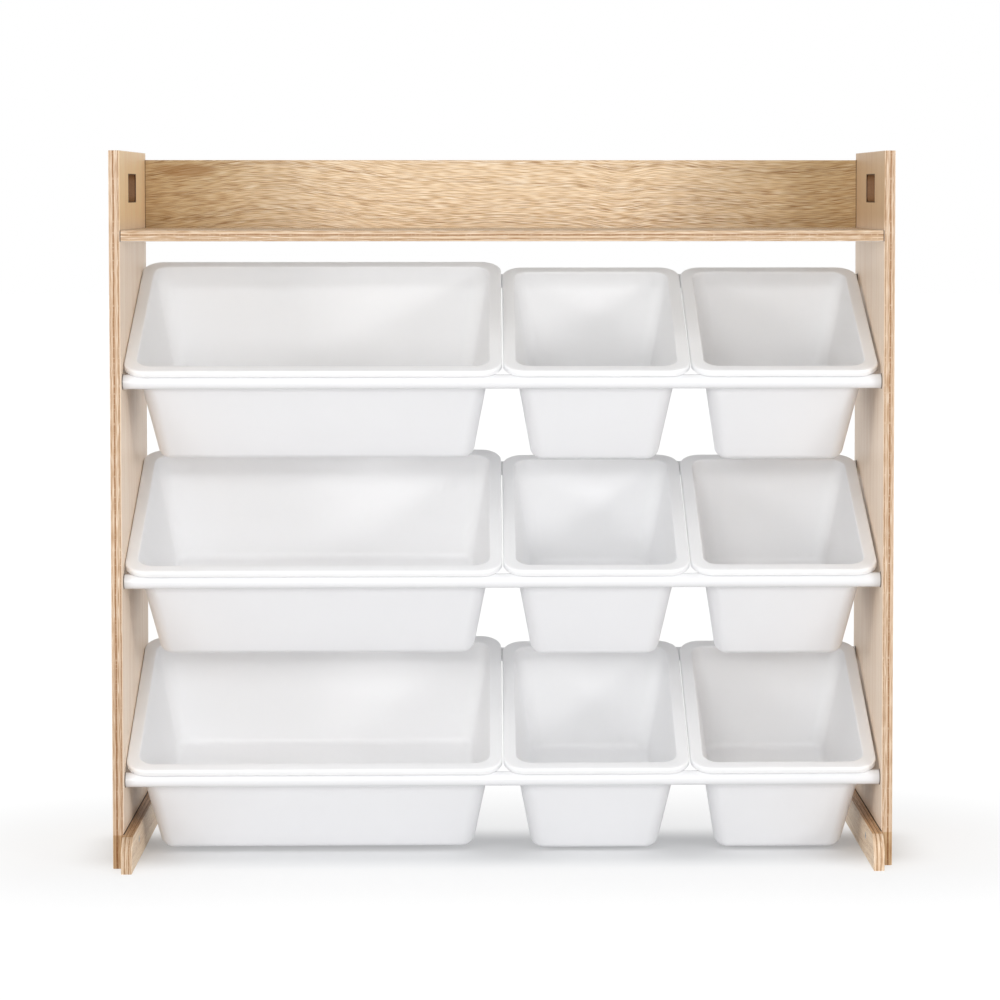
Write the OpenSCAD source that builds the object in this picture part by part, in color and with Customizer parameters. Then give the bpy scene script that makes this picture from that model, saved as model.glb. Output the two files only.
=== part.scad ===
// Storage rack for a child's room. Two tall side boards carry a shallow tray top, made of a
// shelf and a low back board, and three tiers of round rods. On each tier one large bin and
// two small bins hang between a low front rod and a high rear rod, so they lean forward and
// show what is in them. Two low foot boards reach forward at the floor.
//
// X runs across the rack, Y from its front to its back, and Z up. The origin is on the floor,
// under the middle of the rack's own box. Lengths are in millimetres.

/* [Side boards] */
// Width over the outer faces of the two side boards
overall_width = 857; // [800:1:1000]
// Depth of a side board from its front edge to its back edge
panel_depth = 280; // [270:1:310]
// Thickness of a side board
panel_thickness = 12; // [10:0.5:18]
// Radius that eases the edges of the boards
board_edge_radius = 1; // [0.5:0.25:2]

/* [Hand slots] */
// Length of a hand slot from front to back
slot_length = 79; // [70:1:95]
// Height of a hand slot
slot_height = 30; // [24:1:34]
// Radius of a hand slot's corners
slot_corner_radius = 7; // [4:0.5:10]
// Distance from a side board's top edge down to its hand slot
slot_drop = 26; // [20:1:30]
// Distance from a side board's front edge back to the middle of its hand slot
slot_setback = 131; // [110:1:150]

/* [Tray top] */
// Thickness of the top shelf
shelf_thickness = 12; // [10:0.5:16]
// Height of the shelf's underside over the axis of the top rear rod
shelf_over_rod = 50; // [40:1:70]
// Height of the back board above the shelf
back_board_height = 79; // [70:1:110]
// Thickness of the back board
back_board_thickness = 9; // [8:0.5:12]
// Height of the side boards above the back board
panel_lip = 8; // [4:0.5:14]

/* [Foot boards] */
// Height of a foot board
foot_height = 38; // [32:1:50]
// Thickness of a foot board
foot_thickness = 12; // [10:0.5:16]
// Reach of a foot board in front of the side board
foot_reach = 31; // [24:1:50]
// Radius of a foot board's front top corner
foot_nose_radius = 25; // [15:1:30]

/* [Rods] */
// Outer diameter of a rod
rod_diameter = 16; // [14:0.5:20]
// Wall of a rod's tube
rod_wall = 1.2; // [1:0.1:2]
// Chamfer around each end of a rod
rod_end_chamfer = 0.5; // [0.2:0.1:0.8]
// Distance from a side board's front or back edge to the nearer rod's axis
rod_inset = 20; // [18:0.5:26]
// Height of a rear rod's axis over the front rod of its tier
rod_rise = 104; // [90:1:115]
// Height from one tier to the next
tier_pitch = 219.5; // [210:0.5:240]
// Length of the plug in each end of a rod
plug_length = 32; // [25:1:40]

/* [Bins] */
// Width of a small bin over its rim
small_bin_width = 206; // [180:1:220]
// Gap between neighbouring bins
bin_gap = 1.25; // [0.75:0.25:4]
// Gap between the left side board and the large bin
left_gap = 0.5; // [0.5:0.25:4]
// Gap between the right bin and the right side board
right_gap = 3; // [0.5:0.25:6]
// Depth of a bin from the top of its rim to its underside
bin_depth = 129.5; // [110:0.5:132]
// Wall of a bin
bin_wall = 2.5; // [2:0.1:3.2]
// Lean of a bin's walls from the upright, in degrees
bin_draft = 9; // [6:0.5:10]
// Height of the skirt around a bin's rim
skirt_height = 7; // [6:0.5:10]
// Reach of a bin's rim past a rod's axis
rim_overhang = 5.5; // [4.5:0.25:6.5]
// Radius of the rim's corners, seen from above
rim_corner_radius = 24; // [18:1:30]
// Radius of the wall's corners just under the rim
wall_corner_radius = 19; // [15:0.5:22]
// Radius of the wall's corners at the floor
floor_corner_radius = 17; // [13:0.5:18]
// Radius between a bin's wall and its underside
floor_fillet = 11; // [8:0.5:12]
// Lean of a large bin beyond the plane of its rods, in degrees
large_bin_lean = 1.5; // [0:0.1:2]
// Height of the lowest bin's underside over the floor
floor_clearance = 3.5; // [3:0.5:20]

/* [Fasteners] */
// Diameter of the bolt in each end of a rod
rod_bolt_diameter = 6; // [5:0.5:6.5]
// Length of a rod bolt with its head
rod_bolt_length = 38; // [30:1:40]
// Diameter of a rod bolt's head
rod_bolt_head = 12; // [10:0.5:13]
// Diameter of a shelf screw
shelf_screw_diameter = 4; // [3.5:0.25:5]
// Length of a shelf screw with its head
shelf_screw_length = 45; // [35:1:60]
// Distance from a side board's front or back edge to the nearer shelf screw
shelf_screw_inset = 42; // [30:1:70]
// Diameter of a back board screw
back_screw_diameter = 3; // [2.5:0.25:3.5]
// Length of a back board screw with its head
back_screw_length = 32; // [28:1:45]
// Distance from the back board's top or bottom edge to the nearer screw
back_screw_inset = 20; // [12:1:30]
// Diameter of a foot screw
foot_screw_diameter = 4; // [3.5:0.25:5]
// Length of a foot screw with its head
foot_screw_length = 20; // [18:0.5:21]
// Distance from a side board's front or back edge to the nearer foot screw
foot_screw_inset = 47; // [20:1:60]
// Height of the foot screws over the floor
foot_screw_height = 24; // [12:1:26]

/* [Clearances] */
// Gap between a rod and the wall of the bin that hangs on it
wall_clearance = 0.4; // [0.2:0.05:0.6]
// Gap between the top of a rod and the skirt of the bin that lies across it
seat_clearance = 0.3; // [0.2:0.05:0.6]
// Gap all round a screw, a bolt or a plug in its hole
hole_clearance = 0.1; // [0.05:0.05:0.2]

/* [Hidden] */

// Finishes
WOOD = "#cdb692";
WHITE = "#f4f4f2";
STEEL = "#b9bcc0";
ROD_WHITE = "#fafafa";

// Facets of the round forms
fine = 64;
edge_facets = 24;
// Steps round each corner of a bin's rings, and along the fillets of its section
corner_steps = 6;
fillet_steps = 4;
rim_steps = 2;
// Radius of the rim's two rounds, as a share of the bin's wall
rim_round_share = 0.8;
// A screw's socket across its corners, and its tip, as shares of its diameter
socket_share = 0.75;
tip_share = 0.3;
// A cut that has to break a face reaches this far past it
past = 1;

// Side boards and feet share their back edges, and the feet set the front of the rack's box
overall_depth = panel_depth + foot_reach;
box_front = -overall_depth / 2;
panel_front = box_front + foot_reach;
panel_back = overall_depth / 2;
shelf_back = panel_back - back_board_thickness;
inner_width = overall_width - 2 * panel_thickness;
inner_side = inner_width / 2;

// Rods of one tier, seen from the side
rod_radius = rod_diameter / 2;
front_rod_y = panel_front + rod_inset;
rear_rod_y = panel_back - rod_inset;
rod_run = rear_rod_y - front_rod_y;
rod_span = norm([rod_run, rod_rise]);
tilt = atan2(rod_rise, rod_run);

// Seat of a bin on its rods, where the skirts along its sides lie across them. Levels are over
// the rod's axis, square to the bin's rim, and reaches are along the bin from the rod's axis
wall_reach = (rod_radius + wall_clearance) / cos(bin_draft);
seat_level = rod_radius + seat_clearance;
rim_level = seat_level + skirt_height;
lip_level = rim_level - bin_wall;
rim_width = rim_overhang + wall_reach - lip_level * tan(bin_draft);

// Section of a bin. Insets are from the rim's outer edge, heights are over its underside
lip_height = bin_depth - bin_wall;
skirt_foot = bin_depth - skirt_height;
rim_round = rim_round_share * bin_wall;
fillet_inset = wall_inset(floor_fillet) + floor_fillet / cos(bin_draft);

// Height of each tier's front rod. The lowest bin's rounded front corner clears the floor
corner_reach = fillet_inset - rim_overhang;
corner_level = rim_level - bin_depth + floor_fillet;
corner_drop = floor_fillet - corner_reach * sin(tilt) - corner_level * cos(tilt);
bottom_rod_z = floor_clearance + corner_drop;
middle_rod_z = bottom_rod_z + tier_pitch;
top_rod_z = middle_rod_z + tier_pitch;

// Heights of the tray top, stacked on the top rear rod
shelf_bottom = top_rod_z + rod_rise + shelf_over_rod;
shelf_top = shelf_bottom + shelf_thickness;
back_board_top = shelf_top + back_board_height;
panel_height = back_board_top + panel_lip;
slot_top = panel_height - slot_drop;

// Bins across the rack: the large one takes what the two small ones leave
large_bin_width = inner_width - left_gap - right_gap - 2 * (small_bin_width + bin_gap);
large_bin_x = -inner_side + left_gap + large_bin_width / 2;
centre_bin_x = large_bin_x + large_bin_width / 2 + bin_gap + small_bin_width / 2;
right_bin_x = centre_bin_x + small_bin_width + bin_gap;

// Places of the screws
shelf_screw_y = [
    panel_front + shelf_screw_inset, (panel_front + panel_back) / 2, panel_back - shelf_screw_inset
];
back_screw_y = panel_back - back_board_thickness / 2;
back_screw_z = [shelf_bottom + back_screw_inset, back_board_top - back_screw_inset];
foot_screw_y = [panel_front + foot_screw_inset, panel_back - foot_screw_inset];

// Inset of a bin's outer wall at a height over its underside
function wall_inset(height) = rim_width + (lip_height - height) * tan(bin_draft);

// Corner radius of a bin's outer wall at a height over its underside
function wall_corner(height) =
    floor_corner_radius + (wall_corner_radius - floor_corner_radius) * height / lip_height;

// Length over the rim of a bin that leans by a few degrees more than its rods. It turns about
// its front rod and its rear wall still bears on the rear rod, so more lean needs more length
function bin_length(lean) =
    rod_span * (cos(lean) + sin(lean) * tan(bin_draft)) + 2 * rim_overhang;

// One level ring of a bin: a rounded rectangle, drawn anticlockwise
function ring(width, length, inset, height, radius) = [
    for (corner = [0 : 3], step = [0 : corner_steps])
        let (
            turn = 90 * (corner + step / corner_steps),
            side_x = corner == 0 || corner == 3 ? 1 : -1,
            side_y = corner < 2 ? 1 : -1
        )
        [
            side_x * (width / 2 - inset - radius) + radius * cos(turn),
            side_y * (length / 2 - inset - radius) + radius * sin(turn),
            height
        ]
];

// Fillet between a bin's floor and wall, as [inset, height, corner radius] from floor to wall.
// The inner and the outer fillet share a centre, so the wall keeps its thickness
function floor_arc(radius) = [
    for (step = [0 : fillet_steps])
        let (turn = (90 - bin_draft) * step / fillet_steps)
        [
            fillet_inset - radius * sin(turn),
            floor_fillet - radius * cos(turn),
            floor_corner_radius - floor_fillet + radius * sin(turn)
        ]
];

// Quarter round on the rim, from one edge of its top to the other side of the corner
function rim_arc(inset, side, corner) = [
    for (step = [0 : rim_steps])
        let (turn = 90 * step / rim_steps)
        [
            inset + side * rim_round * (1 - sin(turn)),
            bin_depth - rim_round * (1 - cos(turn)),
            corner - side * rim_round * (1 - sin(turn))
        ]
];

// Inset of the inner wall where the rim's round starts
inner_wall_inset = wall_inset(bin_depth - rim_round) + bin_wall / cos(bin_draft);
inner_wall_corner = wall_corner(bin_depth) - bin_wall;

// Section of a bin, from the middle of its inner floor up the inner wall, over the rim and
// down the outer side to the middle of its underside
function bin_section() = concat(
    floor_arc(floor_fillet - bin_wall),
    reversed(rim_arc(inner_wall_inset, -1, inner_wall_corner)),
    rim_arc(0, 1, rim_corner_radius),
    [
        [0, skirt_foot, rim_corner_radius],
        [bin_wall, skirt_foot, rim_corner_radius - bin_wall],
        [bin_wall, lip_height, rim_corner_radius - bin_wall],
        [rim_width, lip_height, wall_corner_radius]
    ],
    reversed(floor_arc(floor_fillet))
);

function reversed(list) = [for (place = [len(list) - 1 : -1 : 0]) list[place]];

// A bin's shell as one closed surface, lofted through a ring at each point of its section.
// It stands on its underside, with its middle at the origin
module bin_shell(width, length) {
    section = bin_section();
    ring_size = 4 * (corner_steps + 1);
    ring_count = len(section);
    points = [for (place = section) each ring(width, length, place[0], place[1], place[2])];
    walls = [
        for (level = [0 : ring_count - 2], place = [0 : ring_size - 1])
            let (
                here = level * ring_size + place,
                next = level * ring_size + (place + 1) % ring_size
            )
            each [[here, next, next + ring_size], [here, next + ring_size, here + ring_size]]
    ];
    inner_floor = [for (place = [ring_size - 1 : -1 : 0]) place];
    underside = [for (place = [0 : ring_size - 1]) (ring_count - 1) * ring_size + place];
    polyhedron(points = points, faces = concat([inner_floor, underside], walls));
}

// A bin on its rods: its rim's front edge passes the front rod by the overhang
module hung_bin(centre_x, rod_z, width, lean) {
    length = bin_length(lean);
    color(WHITE)
        translate([centre_x, front_rod_y, rod_z])
            rotate([tilt + lean, 0, 0])
                translate([0, length / 2 - rim_overhang, rim_level - bin_depth])
                    bin_shell(width, length);
}

module large_bin(rod_z) {
    hung_bin(large_bin_x, rod_z, large_bin_width, large_bin_lean);
}

module centre_bin(rod_z) {
    hung_bin(centre_bin_x, rod_z, small_bin_width, 0);
}

module right_bin(rod_z) {
    hung_bin(right_bin_x, rod_z, small_bin_width, 0);
}

// Flat outline with round corners, from the origin to [width, height]
module rounded_outline(width, height, radius) {
    translate([radius, 0])
        square([width - 2 * radius, height]);
    translate([0, radius])
        square([width, height - 2 * radius]);
    for (x = [radius, width - radius], y = [radius, height - radius])
        translate([x, y])
            circle(r = radius, $fn = edge_facets);
}

// Lays a flat outline, drawn in Y and Z, into a board that starts at x = 0
module across(thickness) {
    rotate([90, 0, 90])
        linear_extrude(thickness)
            children();
}

// Board between the side boards: eased along its long edges, cut square at its ends
module cross_board(depth, thickness) {
    translate([-inner_side, 0, 0])
        across(inner_width)
            rounded_outline(depth, thickness, board_edge_radius);
}

// Board that stands on the floor, eased on its upright and its level edges
module standing_board(thickness, depth, height) {
    intersection() {
        linear_extrude(height)
            rounded_outline(thickness, depth, board_edge_radius);
        translate([0, depth, 0])
            rotate([90, 0, 0])
                linear_extrude(depth)
                    rounded_outline(thickness, height, board_edge_radius);
    }
}

// Countersunk screw along +X. Its head's face is at x = 0
module screw(diameter, head, length) {
    head_depth = (head - diameter) / 2;
    rotate([0, 90, 0])
        difference() {
            union() {
                cylinder(d1 = head, d2 = diameter, h = head_depth, $fn = fine);
                cylinder(d = diameter, h = length - diameter / 2, $fn = fine);
                translate([0, 0, length - diameter / 2])
                    cylinder(
                        d1 = diameter, d2 = diameter * tip_share, h = diameter / 2, $fn = fine
                    );
            }
            translate([0, 0, -past])
                cylinder(d = diameter * socket_share, h = head_depth + past, $fn = 6);
        }
}

// Room for a screw along +X, with its countersink opening at x = 0
module screw_hole(diameter, head, length) {
    head_depth = (head - diameter) / 2;
    rotate([0, 90, 0]) {
        cylinder(
            d1 = head + 2 * hole_clearance, d2 = diameter + 2 * hole_clearance,
            h = head_depth, $fn = fine
        );
        translate([0, 0, -past])
            cylinder(d = head + 2 * hole_clearance, h = past, $fn = fine);
        cylinder(d = diameter + 2 * hole_clearance, h = length + hole_clearance, $fn = fine);
    }
}

// A wood screw's head is twice as wide as its shank
function head_of(diameter) = 2 * diameter;

// Puts its children at both axes of each tier's rods
module at_rods() {
    for (rod_z = [bottom_rod_z, middle_rod_z, top_rod_z]) {
        translate([0, front_rod_y, rod_z])
            children();
        translate([0, rear_rod_y, rod_z + rod_rise])
            children();
    }
}

module at_shelf_screws() {
    for (y = shelf_screw_y)
        translate([0, y, shelf_bottom + shelf_thickness / 2])
            children();
}

module at_back_screws() {
    for (z = back_screw_z)
        translate([0, back_screw_y, z])
            children();
}

module at_foot_screws() {
    for (y = foot_screw_y)
        translate([0, y, foot_screw_height])
            children();
}

// Screws that enter the rack's left side from outside, or their mirror on the right
module left_side_fastener() {
    translate([-overall_width / 2, 0, 0])
        children();
}

// Foot screws enter from the foot's inner face and point outwards
module left_foot_fastener() {
    translate([-inner_side + foot_thickness, 0, 0])
        mirror([1, 0, 0])
            children();
}

module both_sides() {
    children();
    mirror([1, 0, 0])
        children();
}

module shelf_screw_holes() {
    at_shelf_screws()
        screw_hole(shelf_screw_diameter, head_of(shelf_screw_diameter), shelf_screw_length);
}

module back_screw_holes() {
    at_back_screws()
        screw_hole(back_screw_diameter, head_of(back_screw_diameter), back_screw_length);
}

module foot_screw_holes() {
    left_foot_fastener()
        at_foot_screws()
            screw_hole(foot_screw_diameter, head_of(foot_screw_diameter), foot_screw_length);
}

module hand_slot() {
    translate([-past, panel_front + slot_setback - slot_length / 2, slot_top - slot_height])
        across(panel_thickness + 2 * past)
            rounded_outline(slot_length, slot_height, slot_corner_radius);
}

module side_panel() {
    color(WOOD)
        difference() {
            translate([-overall_width / 2, 0, 0])
                difference() {
                    translate([0, panel_front, 0])
                        standing_board(panel_thickness, panel_depth, panel_height);
                    hand_slot();
                    at_rods()
                        screw_hole(rod_bolt_diameter, rod_bolt_head, rod_bolt_length);
                    shelf_screw_holes();
                    back_screw_holes();
                }
            foot_screw_holes();
        }
}

module left_side_panel() {
    side_panel();
}

module right_side_panel() {
    mirror([1, 0, 0])
        side_panel();
}

module top_shelf() {
    color(WOOD)
        difference() {
            translate([0, panel_front, shelf_bottom])
                cross_board(shelf_back - panel_front, shelf_thickness);
            both_sides()
                left_side_fastener()
                    shelf_screw_holes();
        }
}

// The back board stands behind the shelf, with its lower edge level with the shelf's underside
module back_board() {
    color(WOOD)
        difference() {
            translate([0, shelf_back, shelf_bottom])
                cross_board(back_board_thickness, back_board_top - shelf_bottom);
            both_sides()
                left_side_fastener()
                    back_screw_holes();
        }
}

// Outline of a foot from the side, with its nose at the front
module foot_outline() {
    square([overall_depth, foot_height - foot_nose_radius]);
    translate([foot_nose_radius, 0])
        square([overall_depth - foot_nose_radius, foot_height]);
    translate([foot_nose_radius, foot_height - foot_nose_radius])
        circle(r = foot_nose_radius, $fn = fine);
}

module foot() {
    color(WOOD)
        difference() {
            translate([-inner_side, box_front, 0])
                intersection() {
                    standing_board(foot_thickness, overall_depth, foot_height);
                    across(foot_thickness)
                        foot_outline();
                }
            foot_screw_holes();
        }
}

module left_foot() {
    foot();
}

module right_foot() {
    mirror([1, 0, 0])
        foot();
}

// Tube that spans from one side board to the other, with eased ends
module rod() {
    bore_radius = rod_radius - rod_wall;
    end_radius = rod_radius - rod_end_chamfer;
    color(ROD_WHITE)
        translate([-inner_side, 0, 0])
            rotate([0, 90, 0])
                rotate_extrude($fn = fine)
                    polygon([
                        [bore_radius, 0],
                        [end_radius, 0],
                        [rod_radius, rod_end_chamfer],
                        [rod_radius, inner_width - rod_end_chamfer],
                        [end_radius, inner_width],
                        [bore_radius, inner_width]
                    ]);
}

module front_rod(rod_z) {
    translate([0, front_rod_y, rod_z])
        rod();
}

// Rear rod of the tier whose front rod is at a height
module rear_rod(rod_z) {
    translate([0, rear_rod_y, rod_z + rod_rise])
        rod();
}

// Plug that fills the end of a rod and takes the bolt
module rod_end_plug() {
    translate([-inner_side, 0, 0])
        rotate([0, 90, 0])
            difference() {
                cylinder(r = rod_radius - rod_wall - hole_clearance, h = plug_length, $fn = fine);
                translate([0, 0, -past])
                    cylinder(
                        d = rod_bolt_diameter + 2 * hole_clearance,
                        h = plug_length + 2 * past, $fn = fine
                    );
            }
}

module rod_end_plugs() {
    color(WHITE)
        both_sides()
            at_rods()
                rod_end_plug();
}

module rod_bolts() {
    color(STEEL)
        both_sides()
            left_side_fastener()
                at_rods()
                    screw(rod_bolt_diameter, rod_bolt_head, rod_bolt_length);
}

module shelf_screws() {
    color(STEEL)
        both_sides()
            left_side_fastener()
                at_shelf_screws()
                    screw(shelf_screw_diameter, head_of(shelf_screw_diameter), shelf_screw_length);
}

module back_board_screws() {
    color(STEEL)
        both_sides()
            left_side_fastener()
                at_back_screws()
                    screw(back_screw_diameter, head_of(back_screw_diameter), back_screw_length);
}

module foot_screws() {
    color(STEEL)
        both_sides()
            left_foot_fastener()
                at_foot_screws()
                    screw(foot_screw_diameter, head_of(foot_screw_diameter), foot_screw_length);
}

left_side_panel();
right_side_panel();
top_shelf();
back_board();
left_foot();
right_foot();
front_rod(top_rod_z);  // front_rod_top
front_rod(middle_rod_z);  // front_rod_middle
front_rod(bottom_rod_z);  // front_rod_bottom
rear_rod(top_rod_z);  // rear_rod_top
rear_rod(middle_rod_z);  // rear_rod_middle
rear_rod(bottom_rod_z);  // rear_rod_bottom
rod_end_plugs();
rod_bolts();
shelf_screws();
back_board_screws();
foot_screws();
large_bin(top_rod_z);  // large_bin_top
centre_bin(top_rod_z);  // centre_bin_top
right_bin(top_rod_z);  // right_bin_top
large_bin(middle_rod_z);  // large_bin_middle
centre_bin(middle_rod_z);  // centre_bin_middle
right_bin(middle_rod_z);  // right_bin_middle
large_bin(bottom_rod_z);  // large_bin_bottom
centre_bin(bottom_rod_z);  // centre_bin_bottom
right_bin(bottom_rod_z);  // right_bin_bottom
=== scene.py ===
# %% [markdown]
# # A storage rack with nine bins
#
# The rack is a piece of furniture for a child's room. Two light wooden side boards carry a
# tray top and three tiers of white rods, and nine white plastic bins lean forward on the rods.
# Its construction is already made and measured, so it comes in as a fixed frame. This lesson
# gives it its looks: smooth moulded bins, enamelled rods, printed wood grain and soft light.
#
# X runs across the rack, Y from its front to its back and Z up. Lengths are in metres.

# %% The frame
import math
import bpy
import numpy as np
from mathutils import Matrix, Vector


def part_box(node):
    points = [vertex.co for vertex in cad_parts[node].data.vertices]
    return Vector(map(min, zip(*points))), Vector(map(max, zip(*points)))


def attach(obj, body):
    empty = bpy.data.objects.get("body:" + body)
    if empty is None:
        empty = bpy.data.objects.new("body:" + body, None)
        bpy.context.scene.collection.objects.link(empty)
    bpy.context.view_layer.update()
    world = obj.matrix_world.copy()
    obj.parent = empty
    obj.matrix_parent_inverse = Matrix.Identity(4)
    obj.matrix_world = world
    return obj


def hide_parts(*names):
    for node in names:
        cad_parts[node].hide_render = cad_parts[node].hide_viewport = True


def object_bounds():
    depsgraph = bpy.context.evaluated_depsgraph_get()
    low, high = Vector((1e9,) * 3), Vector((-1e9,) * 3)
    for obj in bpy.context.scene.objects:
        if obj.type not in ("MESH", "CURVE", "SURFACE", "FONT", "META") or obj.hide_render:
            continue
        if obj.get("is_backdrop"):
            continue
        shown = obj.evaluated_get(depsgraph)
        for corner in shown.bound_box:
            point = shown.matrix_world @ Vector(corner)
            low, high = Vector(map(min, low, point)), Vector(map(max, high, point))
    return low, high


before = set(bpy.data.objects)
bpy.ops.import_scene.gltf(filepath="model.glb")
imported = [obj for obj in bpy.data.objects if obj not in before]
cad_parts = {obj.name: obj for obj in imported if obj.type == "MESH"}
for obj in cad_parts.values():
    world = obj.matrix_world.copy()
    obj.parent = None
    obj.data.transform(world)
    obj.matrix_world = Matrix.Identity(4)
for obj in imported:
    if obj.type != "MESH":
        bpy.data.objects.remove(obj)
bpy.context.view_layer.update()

# %% [markdown]
# ## Reading sizes from the frame
#
# Every piece made here has to sit exactly where the construction has it. Instead of typing
# places, the script asks the frame for the box of a part and works the rest out. A rod lies
# along X, so the middle of its box is its axis and half its height is its radius.

# %% The rods' axes and the tiers
TIERS = ("top", "middle", "bottom")
RACK = "rack"


def rod_axis(node):
    """Returns (y, z, radius) of a rod: the middle and half the height of its box."""
    low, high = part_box(node)
    return (low.y + high.y) / 2, (low.z + high.z) / 2, (high.z - low.z) / 2


front_y, front_z, rod_radius = rod_axis("front_rod_bottom")
rear_y, rear_z, _ = rod_axis("rear_rod_bottom")
rod_span = math.hypot(rear_y - front_y, rear_z - front_z)
tilt = math.atan2(rear_z - front_z, rear_y - front_y)
print(f"rods {rod_span * 1000:.1f} mm apart, tilted {math.degrees(tilt):.2f} degrees")

# %% [markdown]
# ## From arrays to a mesh
#
# All new pieces are lofts: a closed outline is carried through many rings, and neighbouring
# rings are joined by quads. Working the points out as whole arrays keeps this quick, and one
# helper turns them into a smooth mesh. Only edges that turn sharply stay crisp.

# %% A helper that makes a piece from rings
SHARP_TURN = math.radians(40)


def loft_faces(rings, around, closed):
    """Quads between neighbouring rings. Point k of ring r joins point k + 1 of the same ring and
    the two points above them. A closed loft also joins its last ring to its first."""
    joined = rings if closed else rings - 1
    ring, place = np.meshgrid(np.arange(joined), np.arange(around), indexing="ij")
    here, beside = ring * around + place, ring * around + (place + 1) % around
    step = (ring + 1) % rings * around
    above, above_beside = step + place, step + (place + 1) % around
    return np.stack([here, above, above_beside, beside], axis=-1).reshape(-1, 4).tolist()


def make_piece(name, points, faces, material, body, node):
    """A finished piece: its mesh, its material, the body that it moves with, and the part that it
    stands for."""
    mesh = bpy.data.meshes.new(name)
    mesh.from_pydata(points.reshape(-1, 3).tolist(), [], faces)
    mesh.update()
    mesh.shade_smooth()
    mesh.set_sharp_from_angle(angle=SHARP_TURN)
    mesh.materials.append(material)
    piece = bpy.data.objects.new(name, mesh)
    bpy.context.scene.collection.objects.link(piece)
    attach(piece, body)
    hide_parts(node)
    return piece


print(f"edges stay crisp where they turn by {math.degrees(SHARP_TURN):.0f} degrees or more")

# %% [markdown]
# ## Working with shader nodes
#
# Materials are graphs of nodes. A few small helpers keep the graphs readable: one adds a node
# and fills or links its inputs, and the others do sums and mix colours. Colours are written as
# eight bit screen values, because that is how one reads them off a picture, and are turned into
# the linear light that the renderer works in.

# %% Helpers for nodes and sums
def screen(red, green, blue):
    """Linear colour of a screen colour: each channel's power 2.4 curve with its straight foot."""
    value = np.array([red, green, blue]) / 255
    linear = np.where(value <= 0.04045, value / 12.92, ((value + 0.055) / 1.055) ** 2.4)
    return (*linear.tolist(), 1.0)


def add(tree, kind, inputs=None, **settings):
    """Adds a node. An input given as a socket is linked, and any other value is set."""
    node = tree.nodes.new(kind)
    for key, value in settings.items():
        setattr(node, key, value)
    for key, value in (inputs or {}).items():
        if isinstance(value, bpy.types.NodeSocket):
            tree.links.new(value, node.inputs[key])
        else:
            node.inputs[key].default_value = value
    return node


def maths(tree, operation, *values):
    """The result of one Math node on up to three numbers or sockets."""
    return add(tree, "ShaderNodeMath", dict(enumerate(values)), operation=operation).outputs[0]


def multiply(tree, *values):
    """The product of two or more numbers or sockets."""
    product = values[0]
    for value in values[1:]:
        product = maths(tree, "MULTIPLY", product, value)
    return product


def sum_of_squares(tree, first, second):
    """The squares of two sockets, added up."""
    return maths(tree, "ADD", multiply(tree, first, first), multiply(tree, second, second))


def apart(tree, value, place):
    """How far a value lies from a place, on either side of it."""
    return maths(tree, "ABSOLUTE", maths(tree, "SUBTRACT", value, place))


def mix(tree, share, first, second, mode="MIX"):
    """The first colour blended towards the second by a share."""
    inputs = {0: share, 6: first, 7: second}
    return add(tree, "ShaderNodeMix", inputs, data_type="RGBA", blend_type=mode).outputs[2]


def remap(tree, value, low, high, to_low=0.0, to_high=1.0):
    """Smoothly maps the range from low to high onto another range."""
    inputs = {0: value, 1: low, 2: high, 3: to_low, 4: to_high}
    return add(tree, "ShaderNodeMapRange", inputs, interpolation_type="SMOOTHSTEP").outputs[0]


print(f"a screen value of 128 is {screen(128, 128, 128)[0]:.3f} in linear light")

# %% [markdown]
# ## Places and noise
#
# A procedural pattern is a function of the place on the object. Every piece of the rack has its
# place in its mesh, so the object's own coordinates are metres in the rack's frame, and a pattern
# stays on its board when the object turns. Stretching those coordinates before a noise reads them
# is all that it takes to make cells long in one direction and fine in the others.

# %% Helpers for places and noise
def object_point(tree):
    """The three coordinates of the shaded point, in metres, as sockets."""
    place = add(tree, "ShaderNodeTexCoord").outputs["Object"]
    return add(tree, "ShaderNodeSeparateXYZ", {0: place}).outputs


def spread(tree, x, y, z, factors, shift=(0, 0, 0)):
    """A point whose coordinates are stretched by factors and shifted, for a noise to read."""
    joined = add(tree, "ShaderNodeCombineXYZ", {0: x, 1: y, 2: z}).outputs[0]
    inputs = {"Vector": joined, "Scale": factors, "Location": shift}
    return add(tree, "ShaderNodeMapping", inputs).outputs[0]


def noise(tree, vector, detail=0.0, roughness=0.5):
    """Smooth noise from 0 to 1 whose cells measure one unit of the vector."""
    inputs = {"Vector": vector, "Scale": 1.0, "Detail": detail, "Roughness": roughness}
    return add(tree, "ShaderNodeTexNoise", inputs).outputs[0]


print("helpers for places and noise are ready")

# %% [markdown]
# ## Groups and materials
#
# A look that several materials share is built once, as a node group with named inputs, and
# placed in each material with its own values. The shader itself stays in the material.

# %% Helpers for groups and materials
FLOAT, COLOUR, VECTOR = "NodeSocketFloat", "NodeSocketColor", "NodeSocketVector"


def new_group(name, inputs, outputs):
    """An empty node group with named inputs and outputs: (group, its inputs, its outputs)."""
    group = bpy.data.node_groups.new(name, "ShaderNodeTree")
    for label, kind, value in inputs:
        socket = group.interface.new_socket(label, in_out="INPUT", socket_type=kind)
        if value is not None:
            socket.default_value = value
    for label, kind in outputs:
        group.interface.new_socket(label, in_out="OUTPUT", socket_type=kind)
    given = group.nodes.new("NodeGroupInput").outputs
    result = group.nodes.new("NodeGroupOutput").inputs
    return group, given, result


def place_group(tree, group, inputs):
    """Puts a node group into a material with its own values, and returns its outputs."""
    return add(tree, "ShaderNodeGroup", inputs, node_tree=group).outputs


def new_material(name):
    """A material with only its Principled BSDF and output: (material, tree, shader inputs)."""
    material = bpy.data.materials.new(name)
    material.use_nodes = True
    tree = material.node_tree
    return material, tree, tree.nodes["Principled BSDF"].inputs


print("helpers for groups and materials are ready")

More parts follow.
